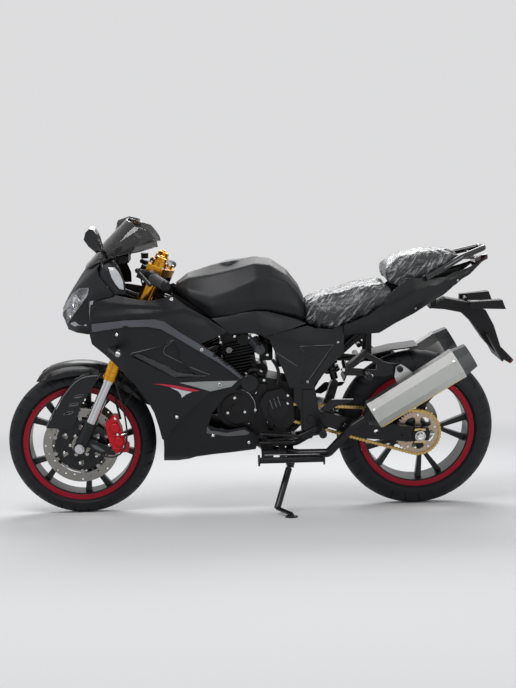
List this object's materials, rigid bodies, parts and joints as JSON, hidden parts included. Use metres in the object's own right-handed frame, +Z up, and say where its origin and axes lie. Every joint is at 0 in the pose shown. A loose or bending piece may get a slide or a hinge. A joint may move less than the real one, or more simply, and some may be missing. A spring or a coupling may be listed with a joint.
{
  "type": "sport motorcycle",
  "caption": "Faired sport motorcycle leaning on its side stand, with turning wheels, steering and a folding stand",
  "frame": {"origin": "on the ground, under the middle of the bounding box", "axes": "+X rearward, +Y to the rider's right, +Z up; the machine leans 10 degrees to its left about X"},
  "size_m": [2.0162, 0.7778, 1.1819],
  "materials": {
    "tyre": "matt road rubber",
    "black_gloss": "gloss black paint",
    "steel": "turned steel",
    "gold": "gold anodised",
    "rubber": "black rubber",
    "red": "red paint",
    "black_matt": "satin black paint",
    "frame_black": "black paint",
    "engine_black": "black painted casting",
    "polished": "polished stainless steel",
    "black_gloss_plastic": "gloss black",
    "clear": "clear lens",
    "smoke": "smoked screen",
    "silver_plastic": "silver",
    "black_plastic": "textured black",
    "seat": "black cover",
    "red_lens": "red lens"
  },
  "bodies": {
    "chassis": {"belly_fairing": "black_matt", "carburettor": "engine_black", "chain": "gold", "cockpit_trims": "silver_plastic", "crankcase": "engine_black", "cylinder": "engine_black", "cylinder_head": "engine_black", "dash_panel": "black_plastic", "engine_covers": "engine_black", "exhaust_pipes": "frame_black", "fairing_stay": "frame_black", "foot_levers": "frame_black", "front_signals": "black_plastic", "front_sprocket": "steel", "fuel_tank": "black_matt", "grab_rail": "black_gloss", "headlamp_lenses": "clear", "headlamp_unit": "black_gloss_plastic", "instruments": "black_plastic", "low_bar": "frame_black", "main_frame": "frame_black", "mid_covers": "black_matt", "mirrors": "black_gloss_plastic", "mufflers": "polished", "nose_fairing": "black_matt", "pillion_pegs": "frame_black", "plate_hanger": "black_plastic", "rear_axle": "steel", "rear_mudguard": "black_plastic", "rear_shock": "steel", "rear_signals": "black_plastic", "reflector": "red_lens", "rider_pegs": "frame_black", "seat_front": "seat", "seat_rear": "seat", "side_covers": "black_matt", "side_fairings": "black_matt", "sprocket_cover": "engine_black", "subframe": "frame_black", "swingarm": "frame_black", "tail_fairing": "black_matt", "tail_lamp": "red_lens", "windscreen": "smoke"},
    "front_fork": {"fork_legs": "gold", "triple_clamps": "gold", "handlebars": "rubber", "front_axle": "steel", "caliper": "red", "front_fender": "black_matt", "brake_hose": "rubber"},
    "front_wheel": {"front_tyre": "tyre", "front_rim": "black_gloss", "front_discs": "steel"},
    "rear_wheel": {"rear_tyre": "tyre", "rear_rim": "black_gloss", "rear_sprocket": "steel", "rear_disc": "steel"},
    "stand": {"side_stand": "frame_black"}
  },
  "joints": [
    {"name": "steering", "type": "hinge", "parent": "chassis", "child": "front_fork", "pos_m": [-0.43063, -0.00421, 0.81034], "axis": [0.4226, -0.1574, 0.8925], "range_deg": [-27, 27]},
    {"name": "front_wheel_spin", "type": "hinge", "parent": "front_fork", "child": "front_wheel", "pos_m": [-0.71592, 0.08765, 0.28938], "axis": [0, 0.9848, 0.1736], "continuous": true},
    {"name": "rear_wheel_spin", "type": "hinge", "parent": "chassis", "child": "rear_wheel", "pos_m": [0.61408, 0.08397, 0.31029], "axis": [0, 0.9848, 0.1736], "continuous": true},
    {"name": "side_stand_fold", "type": "hinge", "parent": "chassis", "child": "stand", "pos_m": [0.10608, -0.01611, 0.18681], "axis": [0, -0.8509, 0.5253], "range_deg": [0, 88]}
  ]
}
